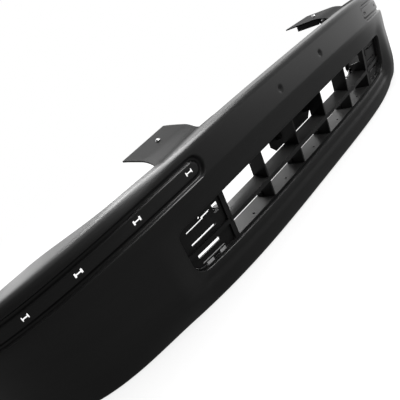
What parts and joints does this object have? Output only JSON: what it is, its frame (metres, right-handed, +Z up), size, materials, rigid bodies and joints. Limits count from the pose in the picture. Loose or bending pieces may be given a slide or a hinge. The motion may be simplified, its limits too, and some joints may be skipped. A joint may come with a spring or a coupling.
{
  "type": "bumper cover",
  "caption": "Moulded front bumper cover with wrap-around wings, lower intake grille, lamp-hole blanks, mounting towers and a trim-strip channel.",
  "frame": {"origin": "middle of the footprint, on the level of the cover's lower edge", "axes": "+X across the vehicle, towards the right as seen from the front; +Y back towards the vehicle, so the face looks along -Y; +Z up"},
  "size_m": [1.6234, 0.4044, 0.3004],
  "materials": {
    "cover_skin": "satin moulded black plastic, unpainted, with a very fine grain",
    "grille_plastic": "matte black, fine spark-eroded texture",
    "blank_plastic": "matte black, coarser texture",
    "bracket_plastic": "satin black, as moulded",
    "retainer_plastic": "satin dark grey",
    "screw_steel": "dark zinc plate, slightly worn"
  },
  "bodies": {
    "root": {"blank_screw_left_1": "screw_steel", "blank_screw_left_2": "screw_steel", "blank_screw_right_1": "screw_steel", "blank_screw_right_2": "screw_steel", "bumper_cover": "cover_skin", "centre_support_panel": "bracket_plastic", "grille_screw_bottom_10": "screw_steel", "grille_screw_bottom_11": "screw_steel", "grille_screw_bottom_12": "screw_steel", "grille_screw_bottom_13": "screw_steel", "grille_screw_bottom_14": "screw_steel", "grille_screw_bottom_8": "screw_steel", "grille_screw_bottom_9": "screw_steel", "grille_screw_top_1": "screw_steel", "grille_screw_top_2": "screw_steel", "grille_screw_top_3": "screw_steel", "grille_screw_top_4": "screw_steel", "grille_screw_top_5": "screw_steel", "grille_screw_top_6": "screw_steel", "grille_screw_top_7": "screw_steel", "lamp_blank_left": "blank_plastic", "lamp_blank_right": "blank_plastic", "lower_grille": "grille_plastic", "panel_screw_left": "screw_steel", "panel_screw_right": "screw_steel", "retainer_screw_left_1": "screw_steel", "retainer_screw_left_2": "screw_steel", "retainer_screw_left_3": "screw_steel", "retainer_screw_right_1": "screw_steel", "retainer_screw_right_2": "screw_steel", "retainer_screw_right_3": "screw_steel", "side_retainer_left": "retainer_plastic", "side_retainer_right": "retainer_plastic", "tower_brace_left": "bracket_plastic", "tower_brace_right": "bracket_plastic", "tower_screw_left": "screw_steel", "tower_screw_right": "screw_steel"}
  },
  "joints": []
}
